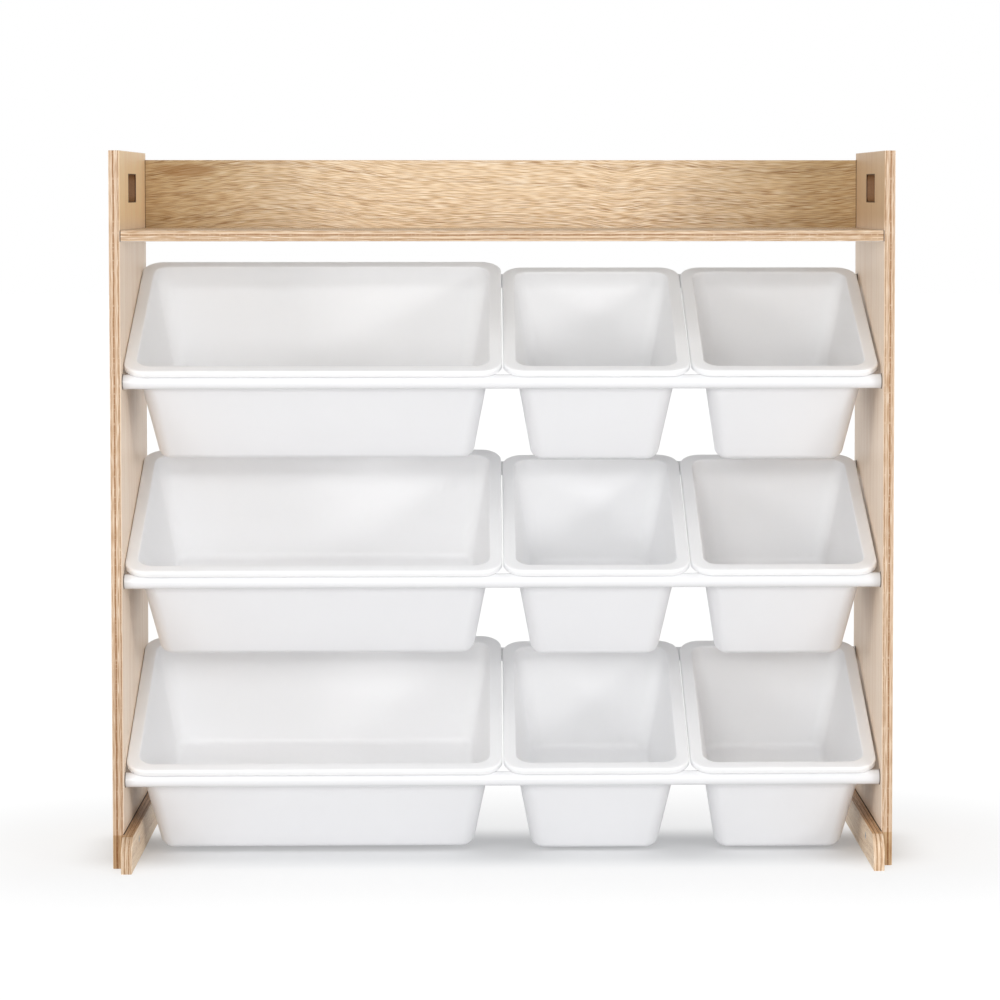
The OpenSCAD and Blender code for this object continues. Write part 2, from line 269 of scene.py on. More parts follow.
# %% [markdown]
# ## Printed wood grain
#
# The boards carry a printed oak grain. Three things make oak read as oak: growth bands that
# wander slowly along the board, fine streaks that follow them, and pores, which are short dark
# and light dashes. All three use one coordinate that runs across the grain and is bent by slow
# noise, so that streaks and pores follow the bands. Each board's material could hold all of
# this, but a group is built once and used for every face and every edge, with other widths and
# colours. Its noises are stretched along the board, and CELLS gives the cells per metre along,
# across and through it.

# %% The wood grain group
CELLS = {
    "slow bend": (4.0, 9.0, 9.0), "quick bend": (19.0, 45.0, 45.0),
    "band wander": (1.5, 60.0, 60.0), "streak": (14.0, 1500.0, 1500.0),
    "pore": (60.0, 2500.0, 2500.0),
}
SLOW_SWING, QUICK_SWING, BAND_SWING = 4.0, 0.6, 2.5
BAND_RISE, BAND_FALL = (0.0, 0.12), (0.15, 0.75)
STREAK_RANGE, DARK_PORE_RANGE, LIGHT_PORE_RANGE = (0.44, 0.62), (0.50, 0.68), (0.48, 0.32)
PORES_IN_BAND, PORES_ANYWHERE = 0.3, 0.7
DARK_PORE, LIGHT_PORE = screen(150, 108, 68), screen(253, 243, 226)
STREAK_ROUGHNESS, LEAST_ROUGHNESS, STREAK_RELIEF = 0.16, 0.36, 0.4
wood_grain, given, result = new_group(
    "wood_grain",
    [("Along", FLOAT, 0.0), ("Across", FLOAT, 0.0), ("Through", FLOAT, 0.0),
     ("Waviness", FLOAT, 0.01), ("Band Width", FLOAT, 0.02), ("Figure", FLOAT, 0.5),
     ("Streaks", FLOAT, 0.5), ("Pores", FLOAT, 0.5),
     ("Light Wood", COLOUR, screen(226, 200, 168)), ("Dark Wood", COLOUR, screen(176, 138, 98))],
    [("Color", COLOUR), ("Roughness", FLOAT), ("Height", FLOAT)],
)


def grain_noise(across, kind, shift, detail=0.0, roughness=0.5):
    """Noise on the board, with the cells that CELLS names and a shift of its own."""
    point = spread(wood_grain, given["Along"], across, given["Through"], CELLS[kind], shift)
    return noise(wood_grain, point, detail, roughness)


def swing(value, size):
    """Noise moved down by a half, so that it swings round zero, times a size."""
    return multiply(wood_grain, maths(wood_grain, "SUBTRACT", value, 0.5), size)


slow = grain_noise(given["Across"], "slow bend", (0, 0, 0), 1.0)
quick = grain_noise(given["Across"], "quick bend", (3, 7, 1))
drift = maths(wood_grain, "ADD", swing(slow, SLOW_SWING), swing(quick, QUICK_SWING))
bent = maths(wood_grain, "MULTIPLY_ADD", drift, given["Waviness"], given["Across"])
wander = grain_noise(bent, "band wander", (9, 2, 5), 1.0)
in_bands = maths(wood_grain, "DIVIDE", bent, given["Band Width"])
wandered = maths(wood_grain, "MULTIPLY_ADD", wander, BAND_SWING, in_bands)
band_place = maths(wood_grain, "FRACT", wandered)
band = multiply(wood_grain, remap(wood_grain, band_place, *BAND_RISE),
                remap(wood_grain, band_place, *BAND_FALL, 1.0, 0.0))
streak = grain_noise(bent, "streak", (5, 1, 8), 1.0, 0.6)
pore = grain_noise(bent, "pore", (2, 6, 4))
print("wood grain: noise and bands take", len(wood_grain.nodes), "nodes")

# %% The grain's colours and relief
dark_pore = remap(wood_grain, pore, *DARK_PORE_RANGE)
light_pore = remap(wood_grain, pore, *LIGHT_PORE_RANGE)
pores = multiply(wood_grain, given["Pores"],
                 maths(wood_grain, "MULTIPLY_ADD", band, PORES_IN_BAND, PORES_ANYWHERE))
figured = multiply(wood_grain, band, given["Figure"])
banded = mix(wood_grain, figured, given["Light Wood"], given["Dark Wood"])
streaked_share = multiply(wood_grain, remap(wood_grain, streak, *STREAK_RANGE), given["Streaks"])
streaked = mix(wood_grain, streaked_share, banded, given["Dark Wood"])
pored = mix(wood_grain, multiply(wood_grain, dark_pore, pores), streaked, DARK_PORE)
lit = mix(wood_grain, multiply(wood_grain, light_pore, pores), pored, LIGHT_PORE)
wood_grain.links.new(lit, result["Color"])
rough = maths(wood_grain, "MULTIPLY_ADD", streak, STREAK_ROUGHNESS, LEAST_ROUGHNESS)
wood_grain.links.new(rough, result["Roughness"])
grain_height = maths(wood_grain, "SUBTRACT", multiply(wood_grain, streak, STREAK_RELIEF),
                     multiply(wood_grain, dark_pore, given["Pores"]))
wood_grain.links.new(grain_height, result["Height"])
print("wood grain group with", len(wood_grain.nodes), "nodes")

# %% [markdown]
# ## Boards: faces, edge bands and seams
#
# A laminated board has its grain along its length on both faces and a narrow strip, the edge
# band, glued around its edges with a grain of its own. The distance from the middle of the
# board's thickness tells the two apart. The band shows the layers of the board as lines that
# run along it. Where two boards meet, their eased edges leave a fine groove, and its shade is
# painted as a dark line. Each face could be unwrapped and given a finish of its own, but a mask
# worked out from the place needs no unwrapping.

# %% Measures of the boards
EDGE_BAND_DEPTH = 0.0006


def board_sides(node):
    """The frame's box of a board as ((low, high) of x, (low, high) of y, (low, high) of z)."""
    low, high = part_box(node)
    return tuple(zip(low, high))


shelf_low, shelf_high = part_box("top_shelf")
foot_low, foot_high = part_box("right_foot")
side_low, side_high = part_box("right_side_panel")
board_thickness = side_high.x - side_low.x
print(f"edge bands {EDGE_BAND_DEPTH * 1000:.1f} mm deep,",
      f"boards {board_thickness * 1000:.0f} mm thick")

# %% Masks and layer lines
# SEAM is the colour of painted shade in the grooves where parts meet, and of the scorched rim round
# a hand slot
SEAM, LAYER_LINE = screen(62, 34, 16), screen(150, 106, 66)
LINE_BEND, LINE_BEND_CELLS = 0.0012, 14.0
LINE_BREAK_CELLS, LINE_BREAK_RANGE, THINNEST_LINE = 240.0, (0.30, 0.52), 0.35


def near(tree, value, place, reach):
    """1 where a value lies at a place, falling smoothly to 0 at a reach on both sides of it."""
    return remap(tree, apart(tree, value, place), reach / 2, reach, 1.0, 0.0)


def edge_share(tree, coordinate, sides):
    """1 on a board's edges and 0 on its faces: how far the point lies inside the thickness."""
    middle, half = sum(sides) / 2, (sides[1] - sides[0]) / 2
    distance = apart(tree, coordinate, middle)
    return remap(tree, distance, half - EDGE_BAND_DEPTH, half - EDGE_BAND_DEPTH / 2, 1.0, 0.0)


def layer_lines(tree, colour, along, coordinate, sides, lines):
    """Draws the board's layers on its edge band: each line has a place through the thickness, as
    a share from the low side, a width in metres and a strength. Slow noise bends and breaks it."""
    wander = noise(tree, spread(tree, along, 0.0, 0.0, (LINE_BEND_CELLS, 1.0, 1.0)))
    bent = maths(tree, "MULTIPLY_ADD", maths(tree, "SUBTRACT", wander, 0.5), LINE_BEND, coordinate)
    break_point = spread(tree, along, 0.0, 0.0, (LINE_BREAK_CELLS, 1.0, 1.0), (4, 0, 0))
    breaks = noise(tree, break_point, 2.0, 0.7)
    solid = remap(tree, breaks, *LINE_BREAK_RANGE, THINNEST_LINE, 1.0)
    for share, width, strength in lines:
        place = sides[0] + share * (sides[1] - sides[0])
        mask = multiply(tree, near(tree, bent, place, width), solid, strength)
        colour = mix(tree, mask, colour, LAYER_LINE)
    return colour


print(f"layer lines sway by up to {LINE_BEND * 500:.1f} mm")

# %% Putting a board's look together
FACE_BUMP, BUMP_STRENGTH = 0.00006, 0.5
BOARD_GLOSS = 0.2


def grain(tree, point, values):
    """The grain group with a board's values. The point is given along, across and through."""
    place = dict(zip(("Along", "Across", "Through"), point))
    return place_group(tree, wood_grain, {**place, **values})


def bumped(tree, height, distance, strength):
    """The normal of a surface that is raised by a height times a distance in metres."""
    inputs = {"Height": height, "Distance": distance, "Strength": strength}
    return add(tree, "ShaderNodeBump", inputs).outputs[0]


def finish_board(tree, shader, face, colour):
    """Joins a board's finished colour and its face's relief into its shader."""
    tree.links.new(colour, shader["Base Color"])
    tree.links.new(face["Roughness"], shader["Roughness"])
    tree.links.new(bumped(tree, face["Height"], FACE_BUMP, BUMP_STRENGTH), shader["Normal"])
    shader["Specular IOR Level"].default_value = BOARD_GLOSS


def use_material(material, *nodes):
    """Gives a material to parts of the frame, whose shape is right as it is."""
    for node in nodes:
        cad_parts[node].material_slots[0].material = material
    print(material.name, "on", ", ".join(nodes))


print(f"a face's grain is {FACE_BUMP * 1000:.2f} mm deep")

# %% [markdown]
# ## Side boards
#
# The two side boards are mirror images, so their shared material works with the distance from
# the rack's middle, which is the absolute value of x. The hand slots are routed through the
# finished board and show its raw brown core. A fine dark ring of painted shade marks where each
# rod meets the board, and a dark line of painted shade lies where the foot board stands against
# it. Light and shade are painted into the colour as well: beside the tray the left board's inner
# face is painted lighter and yellower and the right one darker, the edge bands carry a painted
# shadow of the foot boards where those stand, and the left band is painted darker towards the
# floor.

# %% Masks on the side boards
SLOT_SETBACK, SLOT_DROP = 0.131, 0.026
SLOT_LENGTH, SLOT_HEIGHT = 0.079, 0.030
SLOT_MIDDLE = (side_low.y + SLOT_SETBACK, side_high.z - SLOT_DROP - SLOT_HEIGHT / 2)
SLOT_HALF = (SLOT_LENGTH / 2, SLOT_HEIGHT / 2)
ROD_RING = 0.0007
TIER_PITCH = rod_axis("front_rod_top")[1] - rod_axis("front_rod_middle")[1]


def hand_slot_mask(tree, y, z, margin):
    """1 in the hand slot and in a margin round it: within its length and within its height."""
    outside = [maths(tree, "SUBTRACT", apart(tree, value, middle), half)
               for value, middle, half in zip((y, z), SLOT_MIDDLE, SLOT_HALF)]
    return maths(tree, "LESS_THAN", maths(tree, "MAXIMUM", *outside), margin)


def rod_ring_mask(tree, y, z, axis_y, axis_z):
    """A thin ring round each rod of one side. The tiers are evenly spaced, so the height over the
    lowest axis is folded back by whole tiers, and one distance serves all three rods."""
    over_axis = maths(tree, "SUBTRACT", z, axis_z)
    level = maths(tree, "WRAP", over_axis, TIER_PITCH / 2, -TIER_PITCH / 2)
    across = maths(tree, "SUBTRACT", y, axis_y)
    from_axis = maths(tree, "SQRT", sum_of_squares(tree, level, across))
    # Painted shade: a thin dark ring round the rod, where it meets the board
    ring = near(tree, from_axis, rod_radius + ROD_RING / 2, ROD_RING)
    return multiply(tree, ring, maths(tree, "LESS_THAN", z, shelf_low.z))


print("hand slots' middle at", [round(value, 4) for value in SLOT_MIDDLE])

# %% The side boards' material
SIDE_FACE = {
    "Waviness": 0.012, "Band Width": 0.055, "Figure": 0.30, "Streaks": 0.28, "Pores": 0.10,
    "Light Wood": screen(251, 231, 209), "Dark Wood": screen(233, 202, 173)}
SIDE_EDGE = {
    "Waviness": 0.0010, "Band Width": 0.0042, "Figure": 0.60, "Streaks": 0.30, "Pores": 0.5,
    "Light Wood": screen(219, 192, 164), "Dark Wood": screen(178, 140, 106)}
SIDE_LINES = ((0.59, 0.0011, 0.9), (0.14, 0.0006, 0.75), (0.86, 0.0005, 0.3))
SLOT_EDGE, SLOT_SCORCH, SLOT_RIM_DEPTH = 0.0003, 0.0011, 0.0012
RAW_BOARD, RAW_CELLS = (screen(104, 72, 46), screen(142, 104, 70)), (900.0, 900.0, 900.0)
# Painted shade on the inner faces: the width of the dark line over each foot board, and how
# strongly it and the rings round the rods are painted
FOOT_SEAM, SEAM_STRENGTH = 0.0011, 0.85
# Painted shadow of the foot boards on the edge bands, below the feet's top
FOOT_SHADOW_TONE, FOOT_SHADOW_FADE = (0.79, 0.70, 0.55, 1), 0.002
# Painted shade: the left board's edge band darkens towards the floor
LEFT_EDGE_LOW_SHADE, LEFT_EDGE_SHADE_FADE = (0.85, 0.81, 0.78, 1), (0.10, 0.40)
# Painted light and shade beside the tray: the left inner face is multiplied lighter and yellower,
# the right one darker
LEFT_TRAY_PAINTED_LIGHT, RIGHT_TRAY_PAINTED_SHADE, TRAY_FADE = (1.09, 1.02, 0.81, 1), (0.78, 0.70, 0.57, 1), 0.02


def side_board_material():
    """Upright grain on the faces, a striped band on the edges and raw board in the hand slot."""
    material, tree, shader = new_material("side_board")
    x, y, z = object_point(tree)
    thickness = board_sides("right_side_panel")[0]
    out = maths(tree, "ABSOLUTE", x)
    around = maths(tree, "ADD", z, y)
    on_edge = edge_share(tree, out, thickness)
    inner = maths(tree, "LESS_THAN", out, thickness[0] + EDGE_BAND_DEPTH)
    face = grain(tree, (z, y, x), SIDE_FACE)
    edge = grain(tree, (around, x, 0.0), SIDE_EDGE)
    lined = layer_lines(tree, edge["Color"], around, out, thickness, SIDE_LINES)
    colour = mix(tree, on_edge, face["Color"], lined)
    # Painted shadow of the foot board on the edge band, below the foot's top
    foot_shadow = multiply(tree, on_edge,
                       remap(tree, z, foot_high.z - FOOT_SHADOW_FADE, foot_high.z, 1.0, 0.0))
    colour = mix(tree, foot_shadow, colour, FOOT_SHADOW_TONE, "MULTIPLY")
    # Painted shade: the left board's edge band darkens towards the floor
    low_left_shade = multiply(tree, maths(tree, "LESS_THAN", x, 0.0), on_edge,
                        remap(tree, z, *LEFT_EDGE_SHADE_FADE, 1.0, 0.0))
    colour = mix(tree, low_left_shade, colour, LEFT_EDGE_LOW_SHADE, "MULTIPLY")
    # Painted light and shade on the inner faces beside the tray
    tray_light_and_shade = multiply(tree, inner, remap(tree, z, shelf_low.z, shelf_high.z + TRAY_FADE))
    tone = mix(tree, maths(tree, "GREATER_THAN", x, 0.0), LEFT_TRAY_PAINTED_LIGHT, RIGHT_TRAY_PAINTED_SHADE)
    colour = mix(tree, tray_light_and_shade, colour, tone, "MULTIPLY")
    # Painted shade: dark rings round the rods and a dark line over the foot board, on the inner
    # face
    rings = maths(tree, "MAXIMUM", rod_ring_mask(tree, y, z, front_y, front_z),
                  rod_ring_mask(tree, y, z, rear_y, rear_z))
    lines = maths(tree, "MAXIMUM", rings, near(tree, z, foot_high.z, FOOT_SEAM))
    colour = mix(tree, multiply(tree, inner, lines, SEAM_STRENGTH), colour, SEAM)
    colour = mix(tree, hand_slot_mask(tree, y, z, SLOT_SCORCH), colour, SEAM)
    raw = mix(tree, noise(tree, spread(tree, x, y, z, RAW_CELLS), 2.0), *RAW_BOARD)
    deep = maths(tree, "GREATER_THAN", out, thickness[0] + SLOT_RIM_DEPTH)
    colour = mix(tree, multiply(tree, hand_slot_mask(tree, y, z, SLOT_EDGE), deep), colour, raw)
    finish_board(tree, shader, face, colour)
    return material


use_material(side_board_material(), "left_side_panel", "right_side_panel")

# %% [markdown]
# ## The shelf
#
# The shelf's front band has two bold layer lines, and where its ends meet the side boards a dark
# line of painted shade stands for the groove between them. Its underside is a plain pale backing
# sheet, as a board's hidden face often has.

# %% The shelf's material
SHELF_FACE = {
    "Waviness": 0.012, "Band Width": 0.030, "Figure": 0.45, "Streaks": 0.4, "Pores": 0.5,
    "Light Wood": screen(226, 200, 168), "Dark Wood": screen(186, 150, 112)}
SHELF_EDGE = {
    "Waviness": 0.0014, "Band Width": 0.0046, "Figure": 0.60, "Streaks": 0.35, "Pores": 0.5,
    "Light Wood": screen(222, 195, 163), "Dark Wood": screen(172, 134, 98)}
SHELF_LINES = ((0.60, 0.0011, 0.8), (0.22, 0.0008, 0.6))
BACKING_SHEET = screen(246, 243, 239)
# Painted shade: the width of the dark line at each end, where the shelf meets a side board
END_SEAM = 0.0012


def shelf_material():
    """Grain across the rack on both faces, and a striped band on the front edge."""
    material, tree, shader = new_material("shelf_board")
    x, y, z = object_point(tree)
    width, _, thickness = board_sides("top_shelf")
    around = maths(tree, "ADD", x, y)
    face = grain(tree, (x, y, z), SHELF_FACE)
    edge = grain(tree, (around, z, 0.0), SHELF_EDGE)
    lined = layer_lines(tree, edge["Color"], around, z, thickness, SHELF_LINES)
    colour = mix(tree, edge_share(tree, z, thickness), face["Color"], lined)
    underside = maths(tree, "LESS_THAN", z, thickness[0] + EDGE_BAND_DEPTH / 2)
    colour = mix(tree, underside, colour, BACKING_SHEET)
    # Painted shade at both ends, in the groove against the side boards
    end = remap(tree, maths(tree, "ABSOLUTE", x), width[1] - END_SEAM, width[1] - END_SEAM / 2)
    colour = mix(tree, end, colour, SEAM)
    finish_board(tree, shader, face, colour)
    return material


use_material(shelf_material(), "top_shelf")

# %% [markdown]
# ## The back board
#
# The back board shows the boldest grain of the rack: lines that rise from the left end to a
# crest, as where a knot lay close to the cut, and fall gently to the right. Bells added to the
# height bend the grain into those arches, which keeps it one continuous grain. The board darkens
# towards its ends, and a brown flame marks the knot near the left one.

# %% The back board's material
BACK_FACE = {
    "Waviness": 0.0055, "Band Width": 0.021, "Figure": 0.20, "Streaks": 0.19, "Pores": 0.80,
    "Light Wood": screen(235, 208, 170), "Dark Wood": screen(168, 130, 86)}
BACK_EDGE = {**SHELF_EDGE, "Band Width": 0.0040}
ARCHES = ((-0.276, 0.110, -0.019), (0.137, 0.030, 0.005), (0.330, 0.160, 0.010))
END_TONE, END_FADE = (0.64, 0.57, 0.43, 1), (0.17, 0.40)
FLAME, FLAME_SHARE = screen(150, 106, 54), 0.6
FLAME_PLACE, FLAME_REACH, FLAME_FADE = (-0.368, 0.767), (0.034, 0.0075), (0.2, 1.6)
END_SEAM_STRENGTH = 0.7


def scaled_from(tree, value, place, reach):
    """How far a value lies from a place, in reaches."""
    return maths(tree, "DIVIDE", maths(tree, "SUBTRACT", value, place), reach)


def back_board_material():
    """Bold grain across the rack, bent into arches: each is a bell, the exponential of minus the
    squared distance from its crest, added to the height."""
    material, tree, shader = new_material("back_board")
    x, y, z = object_point(tree)
    width, thickness, _ = board_sides("back_board")
    arched = z
    for place, reach, height in ARCHES:
        offset = scaled_from(tree, x, place, reach)
        bell = maths(tree, "EXPONENT", multiply(tree, offset, offset, -1.0))
        arched = maths(tree, "MULTIPLY_ADD", bell, height, arched)
    face = grain(tree, (x, arched, y), BACK_FACE)
    edge = grain(tree, (x, y, 0.0), BACK_EDGE)
    out = maths(tree, "ABSOLUTE", x)
    # The colour is multiplied darker towards both ends of the board
    end_darkening = mix(tree, remap(tree, out, *END_FADE), (1, 1, 1, 1), END_TONE)
    colour = mix(tree, 1.0, face["Color"], end_darkening, "MULTIPLY")
    flame_x = scaled_from(tree, x, FLAME_PLACE[0], FLAME_REACH[0])
    flame_z = scaled_from(tree, z, FLAME_PLACE[1], FLAME_REACH[1])
    from_flame = sum_of_squares(tree, flame_x, flame_z)
    colour = mix(tree, remap(tree, from_flame, *FLAME_FADE, FLAME_SHARE, 0.0), colour, FLAME)
    colour = mix(tree, edge_share(tree, y, thickness), colour, edge["Color"])
    # Painted shade: a dark line at each end, in the groove where the back board meets a side board
    end = remap(tree, out, width[1] - END_SEAM, width[1] - END_SEAM / 2)
    colour = mix(tree, multiply(tree, end, END_SEAM_STRENGTH), colour, SEAM)
    finish_board(tree, shader, face, colour)
    return material


use_material(back_board_material(), "back_board")

# %% [markdown]
# ## Foot boards
#
# A foot's edge band runs over its round nose, so its stripes are drawn through the thickness
# and follow the curve by themselves. Its top edge is painted browner than its nose, a painted
# shade where the bins and rods above shadow it, the eased edge against the side board gets a dark
# line of painted shade, and the right foot's band is paler than the left's.

# %% The foot boards' material
FOOT_FACE = {
    "Waviness": 0.006, "Band Width": 0.020, "Figure": 0.4, "Streaks": 0.3, "Pores": 0.3,
    "Light Wood": screen(244, 220, 190), "Dark Wood": screen(208, 174, 140)}
FOOT_EDGE = {
    "Waviness": 0.0010, "Band Width": 0.0044, "Figure": 0.65, "Streaks": 0.35, "Pores": 0.5,
    "Light Wood": screen(226, 198, 166), "Dark Wood": screen(172, 132, 96)}
FOOT_LINES = ((0.30, 0.0009, 0.8), (0.66, 0.0007, 0.7))
GROOVE = 0.0011
# Painted shade on the foot's top edge, which lies under the bins and the bottom rods
FOOT_TOP_SHADE = (0.80, 0.66, 0.48, 1)
LEFT_FOOT_TONE, RIGHT_FOOT_TONE = (0.92, 0.93, 0.94, 1), (1.12, 1.14, 1.17, 1)


def foot_material():
    """Grain along the foot on its faces, and stripes that follow its nose on its edges."""
    material, tree, shader = new_material("foot_board")
    x, y, z = object_point(tree)
    thickness, _, level = board_sides("right_foot")
    out = maths(tree, "ABSOLUTE", x)
    around = maths(tree, "ADD", z, y)
    on_edge = edge_share(tree, out, thickness)
    face = grain(tree, (y, z, x), FOOT_FACE)
    edge = grain(tree, (around, x, 0.0), FOOT_EDGE)
    lined = layer_lines(tree, edge["Color"], around, out, thickness, FOOT_LINES)
    colour = mix(tree, on_edge, face["Color"], lined)
    # Painted shade: the top edge darker, and a dark line in the groove against the side board
    top = multiply(tree, maths(tree, "GREATER_THAN", z, level[1] - EDGE_BAND_DEPTH), on_edge)
    colour = mix(tree, top, colour, FOOT_TOP_SHADE, "MULTIPLY")
    groove = remap(tree, out, thickness[1] - GROOVE, thickness[1] - GROOVE / 2)
    behind = maths(tree, "GREATER_THAN", y, side_low.y)
    colour = mix(tree, multiply(tree, groove, behind), colour, SEAM)
    tone = mix(tree, maths(tree, "GREATER_THAN", x, 0.0), LEFT_FOOT_TONE, RIGHT_FOOT_TONE)
    colour = mix(tree, on_edge, colour, mix(tree, 1.0, colour, tone, "MULTIPLY"))
    finish_board(tree, shader, face, colour)
    return material


use_material(foot_material(), "left_foot", "right_foot")

# %% [markdown]
# ## Moulded plastic, enamel and zinc
#
# The bins are moulded in white plastic with a satin skin, and the rods are enamelled. Both
# need a faint unevenness, or they look like paper: slow ripples that bend the reflections and
# a fine grain. One group gives both, as a normal and a roughness, from sizes in metres.

# %% The fine relief group
RIPPLE_RANGE = (0.3, 0.7)
relief, given, result = new_group(
    "fine_relief",
    [("Vector", VECTOR, None), ("Ripple Size", FLOAT, 0.05), ("Grain Size", FLOAT, 0.0008),
     ("Ripple Depth", FLOAT, 0.0002), ("Grain Depth", FLOAT, 0.00001),
     ("Smoothest", FLOAT, 0.25), ("Roughest", FLOAT, 0.4)],
    [("Normal", VECTOR), ("Roughness", FLOAT)],
)


def sized_noise(size):
    """Noise in the relief group whose cells have the given size in metres."""
    inputs = {0: given["Vector"], "Scale": maths(relief, "DIVIDE", 1.0, size)}
    scaled = add(relief, "ShaderNodeVectorMath", inputs, operation="SCALE")
    return noise(relief, scaled.outputs[0], 1.0)


ripple = sized_noise(given["Ripple Size"])
fine_grain = sized_noise(given["Grain Size"])
height = maths(relief, "MULTIPLY_ADD", ripple, given["Ripple Depth"],
               multiply(relief, fine_grain, given["Grain Depth"]))
relief.links.new(bumped(relief, height, 1.0, 1.0), result["Normal"])
rough_range = maths(relief, "SUBTRACT", given["Roughest"], given["Smoothest"])
roughness = maths(relief, "MULTIPLY_ADD", remap(relief, ripple, *RIPPLE_RANGE), rough_range,
                  given["Smoothest"])
relief.links.new(roughness, result["Roughness"])
print("fine relief group with", len(relief.nodes), "nodes")

# %% [markdown]
# ## The smooth finishes
#
# Each finish is the relief group, two colours that a slow cloud blends, and a shader. The bins'
# plastic lets a little light in, so its shader scatters it under the surface. Two marks of
# painted shade darken the colour: a bin's outer walls are painted a touch greyer than its inside,
# and a rod is painted darker just where it meets its board. Those places belong to the piece, not
# to the finish, so the piece carries them as an attribute of its points, and the finish only says
# by which colour they are multiplied.

# %% Plastic, enamel and zinc
CLOUD_CELLS = (14, 14, 14)


def moulded(name, colours, relief_values, shade=None, **shader_values):
    """A smooth material with a fine relief and a faint cloudiness in its colour. Where a piece
    has the attribute that shade names, its colour there is multiplied by shade's colour."""
    material, tree, shader = new_material(name)
    place = add(tree, "ShaderNodeTexCoord").outputs["Object"]
    surface = place_group(tree, relief, {"Vector": place, **relief_values})
    cells = add(tree, "ShaderNodeMapping", {"Vector": place, "Scale": CLOUD_CELLS}).outputs[0]
    colour = mix(tree, noise(tree, cells, 2.0), *colours)
    if shade:
        attribute, shade_colour = shade
        shaded = add(tree, "ShaderNodeAttribute", attribute_name=attribute).outputs["Fac"]
        colour = mix(tree, shaded, colour, shade_colour, "MULTIPLY")
    tree.links.new(colour, shader["Base Color"])
    tree.links.new(surface["Normal"], shader["Normal"])
    tree.links.new(surface["Roughness"], shader["Roughness"])
    for key, value in shader_values.items():
        shader[key.replace("_", " ")].default_value = value
    return material


bin_plastic = moulded(
    "bin_plastic", (screen(253, 253, 254), screen(251, 251, 252)),
    {"Ripple Size": 0.06, "Grain Size": 0.0009, "Ripple Depth": 0.0006, "Grain Depth": 0.000012,
     "Smoothest": 0.32, "Roughest": 0.42},
    # Painted shade: the bins' outer walls are multiplied by a grey
    shade=("outer_wall_shade", screen(238, 238, 239)),
    Subsurface_Weight=0.5, Subsurface_Scale=0.006, Subsurface_Radius=(1.0, 1.0, 1.0))
rod_enamel = moulded(
    "rod_enamel", (screen(237, 237, 238), screen(233, 233, 235)),
    {"Ripple Size": 0.02, "Grain Size": 0.0015, "Ripple Depth": 0.00004, "Grain Depth": 0.000008,
     "Smoothest": 0.16, "Roughest": 0.24},
    # Painted shade at each rod's ends, where it meets its board: a dark line, then a quick fade
    shade=("end_shade", screen(120, 112, 106)))
plug_plastic = moulded(
    "plug_plastic", (screen(236, 236, 234), screen(228, 228, 226)),
    {"Ripple Size": 0.01, "Grain Size": 0.0006, "Ripple Depth": 0.00005, "Grain Depth": 0.00001,
     "Smoothest": 0.45, "Roughest": 0.6})
zinc_steel = moulded(
    "zinc_steel", (screen(206, 208, 212), screen(176, 180, 188)),
    {"Ripple Size": 0.002, "Grain Size": 0.0004, "Ripple Depth": 0.00003, "Grain Depth": 0.00001,
     "Smoothest": 0.28, "Roughest": 0.42},
    Metallic=1.0)
use_material(plug_plastic, "rod_end_plugs")
use_material(zinc_steel, "rod_bolts", "shelf_screws", "back_board_screws", "foot_screws")

# %% [markdown]
# ## Rods
#
# A rod is a steel tube with eased ends. Its wall is a small closed profile, which is carried
# around the rod's axis. The profile and the turns are the two parameters of the surface. A plain
# cylinder would have neither a bore nor eased ends to catch the light. Two points near each end
# bound the shade where the rod meets its board: a dark line, then a quick fade.

# %% The surface of a tube
TUBE_WALL = 0.0012
END_ROUND, END_STEPS = 0.0005, 3
END_LINE, END_SHADE = 0.0013, 0.009
END_PLACES, END_TONES = (END_LINE / 2, END_LINE, END_SHADE), (1.0, 0.22, 0.0)
ROD_TURNS = 64


def tube_profile(low_x, high_x, radius):
    """The closed profile of a tube's wall, as places along the tube and distances from its axis:
    a rounded end, the outside with the points that bound its shade, the other end, the bore."""
    turn = np.linspace(0, math.pi / 2, END_STEPS + 1)
    inwards, reach = END_ROUND * (1 - np.sin(turn)), radius - END_ROUND * (1 - np.cos(turn))
    start = np.stack([low_x + inwards, reach], axis=1)
    end = np.stack([high_x - inwards, reach], axis=1)
    shade_x = [low_x + END_LINE, low_x + END_SHADE, high_x - END_SHADE, high_x - END_LINE]
    outside = np.stack([shade_x, np.full(len(shade_x), radius)], axis=1)
    bore = np.array([[high_x, radius - TUBE_WALL], [low_x, radius - TUBE_WALL]])
    return np.concatenate([start[::-1], outside, end, bore])


def tube_points(node):
    """Points of a tube along X: each ring is the wall's profile, turned about the rod's axis."""
    axis_y, axis_z, radius = rod_axis(node)
    low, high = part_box(node)
    along, reach = tube_profile(low.x, high.x, radius).T
    angle = np.linspace(0, 2 * math.pi, ROD_TURNS, endpoint=False)[:, None]
    return np.stack([
        np.broadcast_to(along, (ROD_TURNS, len(along))),
        axis_y + reach * np.cos(angle),
        axis_z + reach * np.sin(angle),
    ], axis=-1)


print("tube profile with", len(tube_profile(-1.0, 1.0, rod_radius)), "points")

# %% The six rods
def mark_points(piece, name, values):
    """Stores a value for each of a piece's points, under a name that its finish reads."""
    stored = piece.data.attributes.new(name, "FLOAT", "POINT")
    stored.data.foreach_set("value", values.astype(np.float32))


for tier in TIERS:
    for side in ("front", "rear"):
        node = f"{side}_rod_{tier}"
        points = tube_points(node)
        rings, around, _ = points.shape
        faces = loft_faces(rings, around, closed=True)
        tube = make_piece(f"{node}_tube", points, faces, rod_enamel, RACK, node)
        from_middle = np.abs(points[..., 0]).ravel()
        from_end = from_middle.max() - from_middle
        # Painted shade: the points near each end carry how dark the rod is painted there
        mark_points(tube, "end_shade", np.interp(from_end, END_PLACES, END_TONES))
print("rods with", rings * around, "points each")

